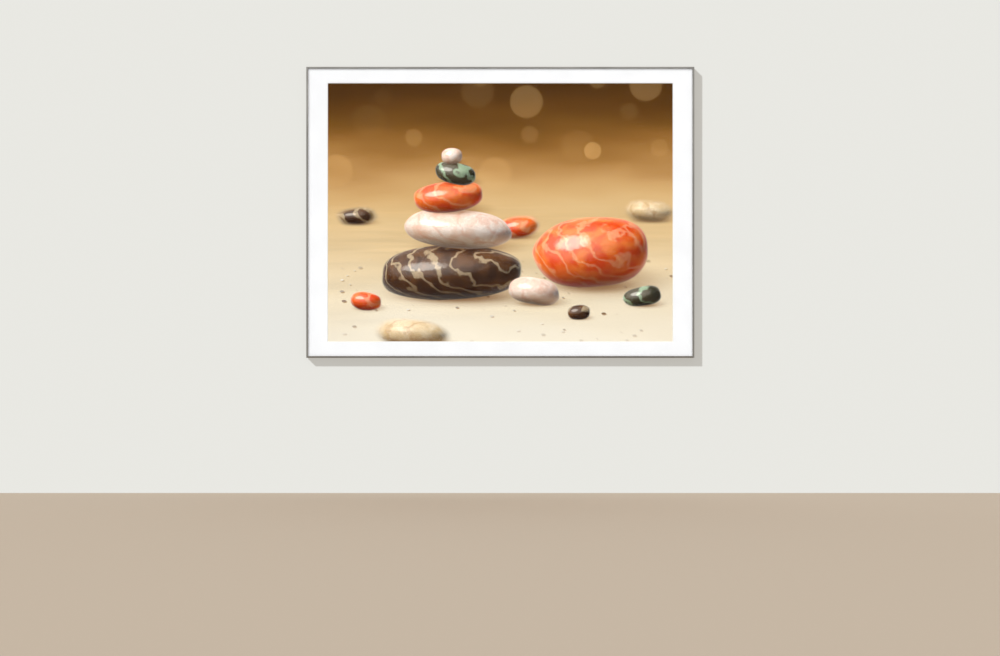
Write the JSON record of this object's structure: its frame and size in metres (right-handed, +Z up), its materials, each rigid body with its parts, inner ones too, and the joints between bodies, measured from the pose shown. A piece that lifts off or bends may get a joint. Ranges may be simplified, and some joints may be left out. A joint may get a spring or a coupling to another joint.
{
  "type": "framed print",
  "caption": "Wide picture behind clear glazing and a white window mat, in a thin metal section frame that hangs on the wall by a sawtooth plate.",
  "frame": {"origin": "middle of the hanger's back face, which lies on the wall", "axes": "+X to the right as the viewer sees the picture, +Y from the picture back into the wall, +Z up"},
  "size_m": [1.016, 0.0229, 0.762],
  "materials": {
    "anodised_aluminium": "satin",
    "clear_acrylic": "gloss",
    "white_mat_board": "matte",
    "printed_paper": "satin",
    "brown_fibreboard": "matte",
    "spring_steel": "satin",
    "zinc_plated_steel": "satin",
    "grey_felt": "matte"
  },
  "bodies": {
    "root": {"rail_bottom": "anodised_aluminium", "rail_left": "anodised_aluminium", "rail_top": "anodised_aluminium", "rail_right": "anodised_aluminium", "glazing": "clear_acrylic", "window_mat": "white_mat_board", "print": "printed_paper", "mount_board": "white_mat_board", "backing_board": "brown_fibreboard", "spring_bottom_1": "spring_steel", "spring_bottom_2": "spring_steel", "spring_bottom_3": "spring_steel", "spring_bottom_4": "spring_steel", "spring_left_1": "spring_steel", "spring_left_2": "spring_steel", "spring_left_3": "spring_steel", "spring_top_1": "spring_steel", "spring_top_2": "spring_steel", "spring_top_3": "spring_steel", "spring_top_4": "spring_steel", "spring_right_1": "spring_steel", "spring_right_2": "spring_steel", "spring_right_3": "spring_steel", "corner_plate_bottom_left": "zinc_plated_steel", "corner_plate_bottom_right": "zinc_plated_steel", "corner_plate_top_left": "zinc_plated_steel", "corner_plate_top_right": "zinc_plated_steel", "set_screw_bottom_left_flat": "zinc_plated_steel", "set_screw_bottom_left_upright": "zinc_plated_steel", "set_screw_bottom_right_flat": "zinc_plated_steel", "set_screw_bottom_right_upright": "zinc_plated_steel", "set_screw_top_left_flat": "zinc_plated_steel", "set_screw_top_left_upright": "zinc_plated_steel", "set_screw_top_right_flat": "zinc_plated_steel", "set_screw_top_right_upright": "zinc_plated_steel", "hanger": "zinc_plated_steel", "nut_bar": "zinc_plated_steel", "hanger_screw_left": "zinc_plated_steel", "hanger_screw_right": "zinc_plated_steel", "bumper_left": "grey_felt", "bumper_right": "grey_felt"}
  },
  "joints": []
}
